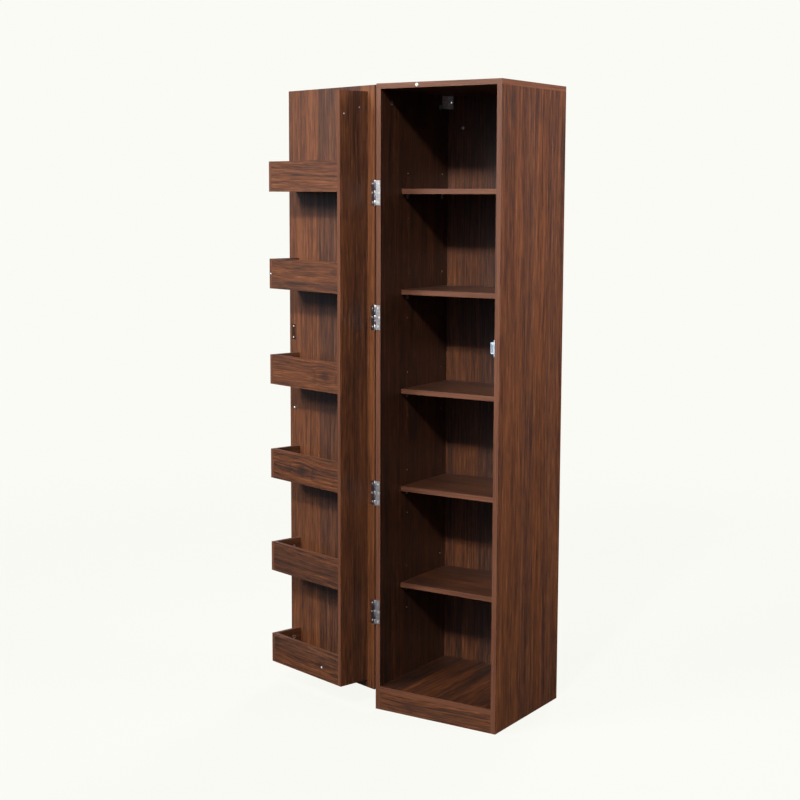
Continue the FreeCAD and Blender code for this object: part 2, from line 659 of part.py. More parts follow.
def rack_joints():
    """Dowels and cam locks that hold the rack together and to the door."""
    cams, bolts, dowels = [], [], []
    kind = ("rack_cam_radius", "rack_cam_depth", "rack_bolt_radius")
    bolt_length = "rack_cam_distance+bolt_grip"
    length = "rack_dowel_long+rack_dowel_short"
    rail_y = f"{RACK_FRONT}-rack_board/2"
    cam_y = f"{DOOR_FACE}+rack_cam_distance"
    for number in range(1, BASKETS + 1):
        low = f"rack_bottom+{number - 1}*basket_step"
        rail, floor, end = (f"basket_{part}_{number}" for part in ("rail", "floor", "end"))
        across = (
            (rail, rail_y, f"{low}+rail_height*0.25"),
            (rail, rail_y, f"{low}+rail_height*0.75"),
            (floor, f"{DOOR_FACE}+22", f"{low}+rack_board/2"),
            (floor, f"{DOOR_FACE}+66", f"{low}+rack_board/2"),
        )
        for label, y, z in across:
            first = (f"{RACK_INNER}-rack_dowel_short", y, z)
            last = (f"{END_INNER}-rack_dowel_long", y, z)
            dowels.append(dowel(first, "rack_dowel_radius", length, "+x", "rack_side_panel", label))
            dowels.append(dowel(last, "rack_dowel_radius", length, "+x", label, end))
        middle = f"{END_INNER}+rack_board/2"
        low_dowel = (middle, f"{DOOR_FACE}-rack_dowel_short", f"{low}+rail_height*0.35")
        dowels.append(dowel(low_dowel, "rack_dowel_radius", length, "+y", "door_panel", end))
        level = f"{low}+rack_cam_rise"
        cam_at, bolt_at = (END_INNER, cam_y, level), (middle, cam_y, level)
        cam, bolt = cam_joint(cam_at, "+x", bolt_at, "-y", kind, bolt_length, end, "door_panel")
        cams.append(cam)
        bolts.append(bolt)
    middle = f"{RACK_OUTER}+rack_board/2"
    for step in (0, 2, 4):
        level = f"rack_top-side_cam_drop-50-{step}*basket_step"
        cam_at, bolt_at = (RACK_INNER, cam_y, level), (middle, cam_y, level)
        cam, bolt = cam_joint(cam_at, "-x", bolt_at, "-y", kind, bolt_length, "rack_side_panel", "door_panel")
        cams.append(cam)
        bolts.append(bolt)
        low_dowel = (middle, f"{DOOR_FACE}-rack_dowel_short", f"{level}-60")
        dowels.append(dowel(low_dowel, "rack_dowel_radius", length, "+y", "door_panel", "rack_side_panel"))
    keep(hang(together("RackCams", cams)), "cam_locks_door")
    keep(hang(together("RackBolts", bolts)), "cam_bolts_door")
    keep(hang(together("RackDowels", dowels)), "dowels_door")


def carcass_boards():
    depth = "cabinet_depth"
    for side, x in (("left", "-cabinet_width/2"), ("right", HALF_INSIDE)):
        board(f"side_panel_{side}", (x, FRONT, "0"), ("board", depth, TOP_UNDERSIDE))
    board("top_panel", ("-cabinet_width/2", FRONT, TOP_UNDERSIDE), ("cabinet_width", depth, "board"))
    board("bottom_panel", (f"-{HALF_INSIDE}", FRONT, "plinth_height"), (f"2*{HALF_INSIDE}", depth, "board"))
    board("front_plinth", (f"-{HALF_INSIDE}", FRONT, "0"), (f"2*{HALF_INSIDE}", "board", "plinth_height"))
    half = f"({HALF_INSIDE}+groove_depth-groove_gap)"
    low = f"{FLOOR_TOP}-groove_depth+groove_gap"
    high = f"{TOP_UNDERSIDE}+groove_depth-groove_gap"
    board("back_panel", (f"-{half}", BACK_FACE, low), (f"2*{half}", "back_board", f"{high}-({low})"))


def shelves():
    half = f"({HALF_INSIDE}-shelf_side_gap)"
    front = f"{FRONT}+shelf_setback"
    depth = f"{BACK_FACE}-shelf_rear_gap-({front})"
    for number in range(1, SHELVES + 1):
        low = f"first_shelf_top+{number - 1}*shelf_step-board"
        label = f"shelf_{number}"
        keep(block(label + "_board", (f"-{half}", front, low), (f"2*{half}", depth, "board")), label)


def door_boards():
    height = "door_top-door_bottom"
    hang(board("door_panel", ("pin_offset", DOOR_OUTSIDE, "door_bottom"), ("door_width", "board", height)))
    rack_height = "rack_top-rack_bottom"
    side_size = ("rack_board", "rack_depth", rack_height)
    hang(board("rack_side_panel", (RACK_OUTER, DOOR_FACE, "rack_bottom"), side_size))
    width = f"{END_INNER}-{RACK_INNER}"
    for number in range(1, BASKETS + 1):
        low = f"rack_bottom+{number - 1}*basket_step"
        rail_at = (RACK_INNER, f"{RACK_FRONT}-rack_board", low)
        hang(board(f"basket_rail_{number}", rail_at, (width, "rack_board", "rail_height")))
        floor_size = (width, "rack_depth-rack_board", "rack_board")
        hang(board(f"basket_floor_{number}", (RACK_INNER, DOOR_FACE, low), floor_size))
        end_size = ("rack_board", "rack_depth", "rail_height")
        hang(board(f"basket_end_{number}", (END_INNER, DOOR_FACE, low), end_size))


def check_and_write():
    """Stops on any failed object, then writes one file for each node."""
    doc.recompute()
    for item in doc.Objects:
        if "Invalid" in item.State or "Error" in item.State:
            raise RuntimeError(f"{item.Name} is {item.State}")
    for item in nodes:
        if item.Shape.isNull() or not item.Shape.isValid():
            raise RuntimeError(f"{item.Label} has no valid shape")
    os.makedirs("parts", exist_ok=True)
    for item in nodes:
        item.Shape.exportStep(f"parts/{item.Label}.step")
        print(item.Label, len(item.Shape.Solids), round(item.Shape.Volume))


carcass_joints()
shelf_supports()
door_screws = hinges()
door_screws += strike_plate()
fixing_screws = catch()
fixing_screws += corner_bracket()
anchor_screw()
knob()
bumpers()
rack_joints()
keep(hang(together("DoorScrews", door_screws)), "door_screws")
keep(together("FixingScrews", fixing_screws), "fixing_screws")
carcass_boards()
shelves()
door_boards()
check_and_write()
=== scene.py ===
import json
import math
import random

import bmesh
import bpy
from mathutils import Matrix, Vector


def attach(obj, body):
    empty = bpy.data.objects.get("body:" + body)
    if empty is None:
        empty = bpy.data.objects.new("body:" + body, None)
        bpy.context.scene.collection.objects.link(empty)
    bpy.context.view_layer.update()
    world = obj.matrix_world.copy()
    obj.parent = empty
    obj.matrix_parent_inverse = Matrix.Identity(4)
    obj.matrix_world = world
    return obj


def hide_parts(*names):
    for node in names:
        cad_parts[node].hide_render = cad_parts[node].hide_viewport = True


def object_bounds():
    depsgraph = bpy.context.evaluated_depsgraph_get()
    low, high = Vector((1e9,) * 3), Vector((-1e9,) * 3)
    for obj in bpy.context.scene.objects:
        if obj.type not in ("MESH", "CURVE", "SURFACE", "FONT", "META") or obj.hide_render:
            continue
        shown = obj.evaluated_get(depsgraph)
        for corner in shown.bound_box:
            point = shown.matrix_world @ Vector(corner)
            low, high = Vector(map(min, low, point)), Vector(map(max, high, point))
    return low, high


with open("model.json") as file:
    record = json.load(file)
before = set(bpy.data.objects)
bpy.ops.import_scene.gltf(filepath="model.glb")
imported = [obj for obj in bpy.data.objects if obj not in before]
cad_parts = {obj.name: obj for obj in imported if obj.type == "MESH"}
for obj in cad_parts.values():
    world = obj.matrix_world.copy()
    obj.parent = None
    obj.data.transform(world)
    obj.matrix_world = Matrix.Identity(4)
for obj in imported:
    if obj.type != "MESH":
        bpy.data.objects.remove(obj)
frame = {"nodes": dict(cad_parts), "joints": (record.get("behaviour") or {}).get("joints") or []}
cad_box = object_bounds()
MM = 0.001

NODES = frame["nodes"]
HINGE = [joint for joint in frame["joints"] if joint["name"] == "door_hinge"][0]
PIN = Vector(HINGE["pos_m"]) * Vector((1, 1, 0))
SWING = math.radians(HINGE["range_deg"][1])

# The door stands open. SHUT takes a point of the open door to where it is when the door is shut, with
# the hinge axis as origin: X across the door, Y into the cabinet. OPEN is the way back.
SHUT = Matrix.Rotation(SWING, 4, "Z") @ Matrix.Translation(-PIN)
OPEN = SHUT.inverted()
STILL = Matrix.Identity(4)

# ---------------------------------------------------------------------------------------------------
# Node trees


class Graph:
    """Short calls that each add one node to a tree and give back its output socket."""

    def __init__(self, tree):
        self.tree = tree

    def node(self, kind, **settings):
        node = self.tree.nodes.new(kind)
        for name, value in settings.items():
            setattr(node, name, value)
        return node

    def feed(self, socket, value):
        if isinstance(value, bpy.types.NodeSocket):
            self.tree.links.new(value, socket)
        else:
            socket.default_value = value

    def math(self, operation, *values):
        node = self.node("ShaderNodeMath", operation=operation)
        for socket, value in zip(node.inputs, values):
            self.feed(socket, value)
        return node.outputs[0]

    def vary(self, base, noise, amount):
        """The base, shifted by amount times how far a noise of 0 to 1 is from its middle."""
        return self.math("MULTIPLY_ADD", self.math("SUBTRACT", noise, 0.5), amount, base)

    def vector(self, x, y, z):
        node = self.node("ShaderNodeCombineXYZ")
        for socket, value in zip(node.inputs, (x, y, z)):
            self.feed(socket, value)
        return node.outputs[0]

    def split(self, vector):
        node = self.node("ShaderNodeSeparateXYZ")
        self.feed(node.inputs[0], vector)
        return node.outputs

    def noise(self, vector, scale=1.0, detail=2.0, roughness=0.5, distortion=0.0):
        node = self.node("ShaderNodeTexNoise", noise_dimensions="3D")
        self.feed(node.inputs["Vector"], vector)
        node.inputs["Scale"].default_value = scale
        node.inputs["Detail"].default_value = detail
        node.inputs["Roughness"].default_value = roughness
        node.inputs["Distortion"].default_value = distortion
        return node.outputs["Fac"]

    def spread(self, value, low, high, to_low=0.0, to_high=1.0):
        """Maps low..high to to_low..to_high smoothly, and holds the ends."""
        node = self.node("ShaderNodeMapRange", interpolation_type="SMOOTHSTEP")
        for socket, number in zip(node.inputs, (value, low, high, to_low, to_high)):
            self.feed(socket, number)
        return node.outputs[0]

    def ramp(self, value, stops):
        node = self.node("ShaderNodeValToRGB")
        self.feed(node.inputs[0], value)
        elements = node.color_ramp.elements
        while len(elements) < len(stops):
            elements.new(0.5)
        for element, (place, colour) in zip(elements, stops):
            element.position = place
            element.color = (*colour, 1)
        return node.outputs["Color"]

    def mix(self, share, first, second, blend="MIX"):
        node = self.node("ShaderNodeMix", data_type="RGBA", blend_type=blend)
        self.feed(node.inputs[0], share)
        for socket, value in ((node.inputs[6], first), (node.inputs[7], second)):
            self.feed(socket, (*value, 1) if isinstance(value, tuple) else value)
        return node.outputs[2]

    def place(self, space):
        """The point in the board's own space: the cabinet's frame, or the shut door's."""
        point = self.node("ShaderNodeTexCoord").outputs["Object"]
        mapping = self.node("ShaderNodeMapping")
        self.feed(mapping.inputs["Vector"], point)
        mapping.inputs["Location"].default_value = space.to_translation()
        mapping.inputs["Rotation"].default_value = space.to_euler()
        return mapping.outputs[0]

    def finish(self, colour, roughness, height=None, relief=0.0001, extras=()):
        """The surface: a Principled shader with a colour, a roughness and a relief in metres."""
        shader = self.node("ShaderNodeBsdfPrincipled")
        self.feed(shader.inputs["Base Color"], colour)
        self.feed(shader.inputs["Roughness"], roughness)
        for name, value in extras:
            shader.inputs[name].default_value = value
        if height is not None:
            bump = self.node("ShaderNodeBump")
            bump.inputs["Strength"].default_value = 1.0
            bump.inputs["Distance"].default_value = relief
            self.feed(bump.inputs["Height"], height)
            self.tree.links.new(bump.outputs[0], shader.inputs["Normal"])
        output = self.node("ShaderNodeOutputMaterial")
        self.tree.links.new(shader.outputs[0], output.inputs["Surface"])


def new_material(name):
    material = bpy.data.materials.new(name)
    material.use_nodes = True
    material.node_tree.nodes.clear()
    return material, Graph(material.node_tree)


# ---------------------------------------------------------------------------------------------------
# Walnut-print laminate: planks side by side, each with its own tone and figure

WALNUT_TONES = [
    (0.0, (0.0165, 0.0050, 0.0018)),
    (0.22, (0.040, 0.0114, 0.0032)),
    (0.45, (0.081, 0.0228, 0.0054)),
    (0.62, (0.115, 0.0334, 0.0080)),
    (0.80, (0.156, 0.0480, 0.0125)),
    (1.0, (0.216, 0.0750, 0.0240)),
]
GIVEN = ("Across", "Along", "Lane", "Tone", "Grey", "Middle", "Figure", "Knot Across", "Knot Along")


def walnut_group():
    """Node group: a place on the board and its plank, to colour, roughness and height."""
    tree = bpy.data.node_groups.new("walnut", "ShaderNodeTree")
    for name in GIVEN:
        tree.interface.new_socket(name=name, in_out="INPUT", socket_type="NodeSocketFloat")
    tree.interface.new_socket(name="Color", in_out="OUTPUT", socket_type="NodeSocketColor")
    tree.interface.new_socket(name="Roughness", in_out="OUTPUT", socket_type="NodeSocketFloat")
    tree.interface.new_socket(name="Height", in_out="OUTPUT", socket_type="NodeSocketFloat")
    g = Graph(tree)
    given = g.node("NodeGroupInput").outputs
    across, along, lane, tone, grey, middle, figure, knot_across, knot_along = (
        given[index] for index in range(len(GIVEN))
    )

    def stretched(line, wide, long):
        return g.vector(g.math("MULTIPLY", line, wide), g.math("MULTIPLY", along, long), lane)

    # The grain wanders a little sideways along the board, and flows round the knot.
    drift = g.noise(stretched(across, 4.0, 1.3), 1.0, 2.0)
    sway = g.math("MULTIPLY_ADD", figure, 0.045, 0.018)
    line = g.vary(across, drift, sway)
    beside_knot = g.math("SUBTRACT", across, knot_across)
    along_knot = g.math("MULTIPLY", g.math("SUBTRACT", along, knot_along), 0.55)
    from_knot = g.vector(beside_knot, along_knot, 0.0)
    reach = g.node("ShaderNodeVectorMath", operation="LENGTH")
    g.feed(reach.inputs[0], from_knot)
    halo = g.spread(reach.outputs["Value"], 0.050, 0.004)
    heart = g.spread(reach.outputs["Value"], 0.016, 0.002)
    line = g.math("MULTIPLY_ADD", halo, g.math("MULTIPLY", beside_knot, -0.45), line)

    # Growth rings: contours of a ridge that rises and falls, so some of them close into arches.
    beside = g.math("DIVIDE", g.math("SUBTRACT", line, middle), 0.030)
    swell = g.noise(stretched(across, 1.0, 1.3), 1.0, 1.0)
    ruffle = g.noise(stretched(line, 60.0, 6.0), 1.0, 3.0)
    contour = g.math("MULTIPLY_ADD", swell, 9.0, g.math("POWER", g.math("ABSOLUTE", beside), 1.7))
    contour = g.math("MULTIPLY_ADD", ruffle, 0.55, contour)
    contour = g.math("MULTIPLY_ADD", halo, 1.3, contour)
    rings = g.math("FRACT", g.math("MULTIPLY", contour, 1.15))
    latewood = g.math("POWER", rings, 2.2)

    # Streaks, from broad bands down to single fibres and pores, and smoky clouds.
    broad = g.noise(stretched(line, 24.0, 0.8), 1.0, 2.0)
    streak = g.noise(stretched(line, 110.0, 2.4), 1.0, 2.0, 0.6)
    thread = g.noise(stretched(line, 330.0, 4.0), 1.0, 2.0, 0.6)
    fibre = g.noise(stretched(line, 560.0, 20.0), 1.0, 2.0, 0.6)
    pores = g.spread(g.noise(stretched(line, 1400.0, 95.0), 1.0, 1.0), 0.57, 0.70)
    smoke = g.spread(g.noise(stretched(across, 13.0, 4.2), 1.0, 3.0, 0.55, 0.6), 0.56, 0.80)

    light = g.math("ADD", tone, 0.5)
    for noise, amount in ((broad, 0.55), (streak, 0.72), (thread, 1.40), (fibre, 1.45)):
        light = g.vary(light, noise, amount)
    light = g.math("MULTIPLY_ADD", g.math("MULTIPLY", latewood, figure), -0.26, light)
    marks = ((figure, 0.07), (smoke, -0.17), (heart, -0.26), (halo, -0.10), (pores, -0.13))
    for mark, amount in marks:
        light = g.math("MULTIPLY_ADD", mark, amount, light)
    colour = g.ramp(light, WALNUT_TONES)

    # Stained planks and the smoky clouds lean to grey-violet.
    ashen = g.mix(1.0, colour, (0.84, 1.04, 1.80), "MULTIPLY")
    cool = g.math("ADD", grey, g.math("MULTIPLY", smoke, 0.45))
    colour = g.mix(g.math("MINIMUM", cool, 1.0), colour, ashen)

    given_back = g.node("NodeGroupOutput").inputs
    g.feed(given_back[0], colour)
    g.feed(given_back[1], g.vary(0.46, streak, -0.12))
    g.feed(given_back[2], g.math("SUBTRACT", g.math("MULTIPLY", fibre, 0.6), pores))
    return tree


WALNUT = walnut_group()


def plank_widths(seed, width):
    """Planks for a board that has no list of its own: start, tone and greyness of each."""
    chance = random.Random(seed)
    planks, start = [], -chance.uniform(0.0, 60.0)
    while start < width:
        planks.append((max(start, 0.0), chance.uniform(-0.07, 0.07), chance.uniform(0.0, 0.8)))
        start += chance.uniform(65.0, 126.0)
    return planks


def walnut(name, space, across, along, low, high, seed, figure, planks, knot):
    """Laminate whose grain runs along one axis of the board's own space, low to high across it."""
    material, g = new_material(name)
    point = g.split(g.place(space))
    width = high - low
    share = g.math("DIVIDE", g.math("SUBTRACT", point[across], low), width)
    ramp = g.node("ShaderNodeValToRGB")
    ramp.color_ramp.interpolation = "CONSTANT"
    g.feed(ramp.inputs[0], share)
    elements = ramp.color_ramp.elements
    while len(elements) > 1:
        elements.remove(elements[-1])
    ends = [start * MM for start, shade, grey in planks[1:]] + [width]
    for index, ((start, shade, grey), end) in enumerate(zip(planks, ends)):
        element = elements[0] if index == 0 else elements.new(min(start * MM / width, 1.0))
        element.position = max(start * MM / width, 0.0)
        element.color = (0.5 + shade, grey, (start * MM + end) / 2 / width, 1)
    kind = g.split(ramp.outputs["Color"])
    middle = g.math("MULTIPLY_ADD", kind[2], width, low)
    lane = g.math("MULTIPLY_ADD", kind[2], 47.0, seed)
    group = g.node("ShaderNodeGroup", node_tree=WALNUT)
    tone = g.math("SUBTRACT", kind[0], 0.5)
    values = (point[across], point[along], lane, tone, kind[1], middle, figure, *knot)
    for socket, value in zip(group.inputs, values):
        g.feed(socket, value)
    look = group.outputs
    sheen = [("Specular IOR Level", 0.8)]
    g.finish(look["Color"], look["Roughness"], look["Height"], 0.00006, sheen)
    return material


BAND_TONES = [
    (0.1, (0.062, 0.0205, 0.0095)),
    (0.5, (0.130, 0.0460, 0.0220)),
    (0.9, (0.200, 0.0800, 0.0420)),
]
CORE_TONES = [(0.1, (0.16, 0.09, 0.045)), (0.5, (0.33, 0.21, 0.12)), (0.9, (0.52, 0.37, 0.23))]
GLUE_TONES = [(0.3, (0.018, 0.006, 0.003)), (0.7, (0.060, 0.021, 0.010))]
REAR_TONES = [(0.2, (0.13, 0.068, 0.034)), (0.5, (0.22, 0.125, 0.066)), (0.8, (0.31, 0.19, 0.11))]
BEECH_TONES = [(0.25, (0.38, 0.22, 0.11)), (0.5, (0.58, 0.38, 0.22)), (0.8, (0.70, 0.50, 0.31))]


def edge_band(name, space, across, along):
    """Edge banding: a lighter strip with straight fine lines along the edge."""
    material, g = new_material(name)
    point = g.split(g.place(space))
    other = point[3 - across - along]

    def stretched(wide, long):
        sideways = g.math("MULTIPLY", point[across], wide)
        return g.vector(sideways, g.math("MULTIPLY", point[along], long), other)

    lines = g.noise(stretched(420.0, 3.5), 1.0, 3.0, 0.6)
    patches = g.noise(stretched(30.0, 2.2), 1.0, 3.0, 0.6)
    fibre = g.noise(stretched(2500.0, 30.0), 1.0, 2.0)
    light = 0.5
    for noise, amount in ((lines, 1.3), (patches, 0.6), (fibre, 0.6)):
        light = g.vary(light, noise, amount)
    colour = g.ramp(light, BAND_TONES)
    g.finish(colour, g.math("MULTIPLY_ADD", fibre, 0.12, 0.40), fibre, 0.00005)
    return material


def chipboard():
    """The boards' core, seen in holes and grooves."""
    material, g = new_material("chipboard_core")
    point = g.place(STILL)
    chips = g.node("ShaderNodeTexVoronoi", voronoi_dimensions="3D", feature="F1")
    g.feed(chips.inputs["Vector"], point)
    chips.inputs["Scale"].default_value = 900.0
    grit = g.noise(point, 2600.0, 2.0)
    chip = g.split(chips.outputs["Color"])[0]
    light = g.math("MULTIPLY_ADD", chip, 0.6, g.math("MULTIPLY", grit, 0.4))
    colour = g.ramp(light, CORE_TONES)
    g.finish(colour, g.math("MULTIPLY_ADD", grit, 0.1, 0.8), grit, 0.0002)
    return material


def glue_line():
    """The dark line where face and banding meet."""
    material, g = new_material("glue_line")
    grit = g.noise(g.place(STILL), 600.0, 2.0)
    colour = g.ramp(grit, GLUE_TONES)
    g.finish(colour, g.math("MULTIPLY_ADD", grit, 0.1, 0.5), grit, 0.00005)
    return material


def hardboard():
    """The plain rear side of the back panel."""
    material, g = new_material("hardboard_rear")
    point = g.place(STILL)
    clouds = g.noise(point, 7.0, 3.0)
    flecks = g.noise(point, 700.0, 3.0, 0.7)
    colour = g.ramp(g.vary(flecks, clouds, 0.5), REAR_TONES)
    g.finish(colour, g.math("MULTIPLY_ADD", flecks, 0.15, 0.6), flecks, 0.0001)
    return material


def metal(name, space, colour, brushed, roughness, spots=0.0):
    """Plated or brushed steel: fine lines along the brushed axis, faint stains, and worn spots."""
    material, g = new_material(name)
    point = g.place(space)
    parts = g.split(point)
    scales = [2600.0, 2600.0, 2600.0]
    scales[brushed] = 60.0
    drawn = (g.math("MULTIPLY", part, scale) for part, scale in zip(parts, scales))
    lines = g.noise(g.vector(*drawn), 1.0, 2.0)
    stains = g.noise(point, 160.0, 4.0, 0.65)
    dark = tuple(0.72 * channel for channel in colour)
    tint = g.mix(g.spread(stains, 0.35, 0.75), colour, dark)
    level = g.vary(g.vary(roughness, stains, 0.25), lines, 0.18)
    if spots:
        worn = g.spread(g.noise(point, 420.0, 2.0), 0.58, 0.70)
        tint = g.mix(g.math("MULTIPLY", worn, spots), tint, (0.30, 0.30, 0.31))
    g.finish(tint, level, lines, 0.00003, [("Metallic", 1.0)])
    return material


def plastic(name, colour, roughness, grain, translucent=0.0):
    """Moulded plastic or rubber with a fine pebbled skin."""
    material, g = new_material(name)
    point = g.place(STILL)
    pebble = g.noise(point, grain, 2.0)
    clouds = g.noise(point, 90.0, 3.0)
    darker = tuple(0.86 * channel for channel in colour)
    tint = g.mix(g.spread(clouds, 0.3, 0.8), colour, darker)
    scatter = [("Subsurface Weight", translucent)]
    g.finish(tint, g.vary(roughness, pebble, 0.2), pebble, 0.00003, scatter)
    return material


def beech():
    """The dowels' plain beech."""
    material, g = new_material("dowel_beech")
    point = g.place(STILL)
    flecks = g.noise(point, 900.0, 3.0, 0.6)
    colour = g.ramp(flecks, BEECH_TONES)
    g.finish(colour, g.math("MULTIPLY_ADD", flecks, 0.1, 0.6), flecks, 0.0001)
    return material


# ---------------------------------------------------------------------------------------------------
# Boards

X, Y, Z = 0, 1, 2
SHELVES = range(1, 6)
BASKETS = range(1, 7)
BASKET_PARTS = ("rail", "floor", "end")
DOOR_BOARDS = ["door_panel", "rack_side_panel"]
DOOR_BOARDS += [f"basket_{part}_{number}" for number in BASKETS for part in BASKET_PARTS]
NO_KNOT = (-9.0, -9.0)  # far off every board

# Board: grain axis, axis across the grain, seed of its figure, how lively the figure is.
GRAIN = {
    "side_panel_left": (Z, Y, 1.0, 0.35),
    "side_panel_right": (Z, Y, 2.3, 0.45),
    "back_panel": (Z, X, 3.1, 0.5),
    "top_panel": (X, Y, 4.2, 0.5),
    "bottom_panel": (Y, X, 5.4, 1.0),
    "front_plinth": (X, Z, 6.1, 0.8),
    "door_panel": (Z, X, 7.7, 0.5),
    "rack_side_panel": (Z, Y, 8.3, 0.5),
}
for number in SHELVES:
    GRAIN[f"shelf_{number}"] = (X, Y, 9.0 + 1.7 * number, 0.9)
for number in BASKETS:
    GRAIN[f"basket_rail_{number}"] = (X, Z, 21.0 + 2.3 * number, 0.8)
    GRAIN[f"basket_floor_{number}"] = (X, Y, 41.0 + 1.9 * number, 0.5)
    GRAIN[f"basket_end_{number}"] = (Y, Z, 61.0 + 2.9 * number, 0.6)

# Planks of the print: start in millimetres from the board's low side, shade above or below the
# middle tone, greyness. The boards inside the cabinet (left side, back, bottom, shelves) are set
# darker all over: painted shade for the dim inside. Their plank edges, tones between planks and
# greyness are print.
PLANKS = {
    "side_panel_right": [
        (0, 0.04, 0.1),
        (133, -0.05, 0.4),
        (208, 0.05, 0.0),
        (272, -0.03, 0.35),
        (343, 0.0, 0.0),
    ],
    # Left side panel: darker shades, painted shade for its face inside the cabinet.
    "side_panel_left": [
        (0, -0.20, 0.3),
        (60, -0.14, 0.1),
        (150, -0.19, 0.4),
        (215, -0.14, 0.1),
        (300, -0.20, 0.4),
    ],
    # Back panel: mostly darker shades, painted shade for the dim inside.
    "back_panel": [(0, -0.02, 0.0), (118, -0.17, 0.35), (190, -0.12, 0.2), (280, -0.17, 0.4)],
    "door_panel": [(0, 0.28, 0.0), (62, 0.0, 0.3), (150, -0.03, 0.7), (254, 0.14, 0.15)],
    "rack_side_panel": [(0, -0.01, 0.1), (53, 0.08, 0.0)],
    # Bottom panel: the darkest shades, painted shade for the dim lowest compartment.
    "bottom_panel": [
        (0, -0.27, 0.1),
        (72, -0.13, 0.0),
        (150, -0.31, 0.1),
        (215, -0.17, 0.0),
        (290, -0.29, 0.1),
    ],
    "basket_rail_1": [(0, 0.09, 0.2), (50, -0.04, 0.8)],
    "basket_rail_2": [(0, -0.04, 0.4)],
    "basket_rail_3": [(0, 0.07, 0.0)],
    "basket_rail_4": [(0, 0.10, 0.1)],
    "basket_rail_5": [(0, 0.0, 0.45), (30, 0.06, 0.2)],
    "basket_rail_6": [(0, 0.12, 0.2)],
}
# Shelves: darker shades, painted shade for the dim inside.
for number in SHELVES:
    PLANKS[f"shelf_{number}"] = [
        (0, -0.22, 0.1),
        (70 + 12 * number, -0.13, 0.0),
        (165 + 5 * number, -0.24, 0.2),
    ]

# Knots: across and along the grain, in metres of the board's own space.
KNOTS = {
    "basket_rail_3": (0.69, 0.215),
    "basket_rail_4": (0.975, 0.105),
}

BANDS = {}
CORE = chipboard()
REAR = hardboard()
GLUE = glue_line()

# Where each material stands in a board's list of materials.
FACE, LONG_EDGE, CROSS_EDGE, BARE, HARDBOARD, SEAM = range(6)

WELD = 0.01 * MM
FLUSH = 0.05 * MM  # a face this close to the board's outline lies on it
SQUARE = 0.98  # the least share of a face's normal along its axis


def band_for(space_name, space, across, along):
    """The edge banding of one space and one direction, made once."""
    key = f"edge_band_{space_name}_{'xyz'[across]}{'xyz'[along]}"
    if key not in BANDS:
        BANDS[key] = edge_band(key, space, across, along)
    return BANDS[key]


def soften(obj, width):
    """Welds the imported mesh's split corners and rounds its sharp edges a little."""
    weld = obj.modifiers.new("weld", "WELD")
    weld.merge_threshold = WELD
    bevel = obj.modifiers.new("soft_edges", "BEVEL")
    bevel.width = width
    bevel.segments = 2
    bevel.limit_method = "ANGLE"
    bevel.angle_limit = math.radians(40)
    bevel.harden_normals = True


def dress_board(name, grain, across, seed, figure):
    """Laminate on a board's two faces, banding on its edges, bare core in its holes and grooves."""
    obj = NODES[name]
    on_door = name in DOOR_BOARDS
    space = SHUT if on_door else STILL
    space_name = "door" if on_door else "cabinet"
    thick = 3 - grain - across
    mesh = obj.data
    points = [space @ vertex.co for vertex in mesh.vertices]
    low = [min(point[axis] for point in points) for axis in range(3)]
    high = [max(point[axis] for point in points) for axis in range(3)]
    planks = PLANKS.get(name) or plank_widths(seed, (high[across] - low[across]) / MM)
    knot = KNOTS.get(name, NO_KNOT)
    span = (low[across], high[across])
    laminate = walnut(f"walnut_{name}", space, across, grain, *span, seed, figure, planks, knot)
    long_band = band_for(space_name, space, thick, grain)
    cross_band = band_for(space_name, space, thick, across)
    mesh.materials.clear()
    for material in (laminate, long_band, cross_band, CORE, REAR, GLUE):
        mesh.materials.append(material)
    turn = space.to_3x3()
    for polygon in mesh.polygons:
        normal = turn @ polygon.normal
        axis = max(range(3), key=lambda i: abs(normal[i]))
        place = points[polygon.vertices[0]][axis]
        outside = min(abs(place - low[axis]), abs(place - high[axis])) < FLUSH
        if not outside or abs(normal[axis]) < SQUARE:
            polygon.material_index = BARE
        elif axis == thick:
            rear = name == "back_panel" and normal[axis] > 0
            polygon.material_index = HARDBOARD if rear else FACE
        else:
            polygon.material_index = LONG_EDGE if axis == across else CROSS_EDGE
    if name == "back_panel":
        return  # a bevel would crease the thin panel's rear face
    soften(obj, 0.5 * MM)
    obj.modifiers["soft_edges"].material = SEAM


for name, settings in GRAIN.items():
    dress_board(name, *settings)

# ---------------------------------------------------------------------------------------------------
# Fittings

HINGE_STEEL = metal("hinge_steel", STILL, (0.90, 0.89, 0.90), Z, 0.40, 0.8)
# The door's hinge leaves take a darker copy of the hinge steel: painted shade and painted dark
# reflection for leaves that sit in shade beside the rack.
SHADED_LEAF_STEEL = metal("hinge_steel_door_painted_shade", STILL, (0.36, 0.33, 0.38), Z, 0.34, 0.5)
# The wall bracket takes a brighter copy of the plate steel: a painted highlight for a bracket that
# sits in the top panel's shade.
HIGHLIGHTED_BRACKET_STEEL = metal("bracket_steel", STILL, (0.96, 0.97, 1.0), Z, 0.62, 0.1)
PLATE_STEEL = metal("plate_steel", STILL, (0.82, 0.84, 0.88), Z, 0.42, 0.2)
STRIKE_STEEL = metal("strike_bronze", STILL, (0.20, 0.095, 0.055), Z, 0.45)
SCREW_STEEL = metal("screw_steel", STILL, (0.96, 0.96, 0.98), X, 0.52)
CAM_ZINC = metal("cam_zinc", STILL, (0.62, 0.62, 0.63), X, 0.42, 0.2)
KNOB_METAL = metal("knob_metal", STILL, (0.60, 0.60, 0.61), Z, 0.30)
MAGNET = metal("magnet_nickel", STILL, (0.80, 0.88, 0.98), Z, 0.45)
CATCH_WHITE = plastic("catch_plastic", (0.60, 0.76, 0.95), 0.34, 900.0, 0.15)
BUMPER_WHITE = plastic("bumper_rubber", (0.84, 0.84, 0.83), 0.45, 900.0, 0.2)
BEECH = beech()


def paint(material, *names):
    """Gives CAD nodes one material and slightly softer edges."""
    for name in names:
        NODES[name].data.materials.clear()
        NODES[name].data.materials.append(material)
        soften(NODES[name], 0.2 * MM)


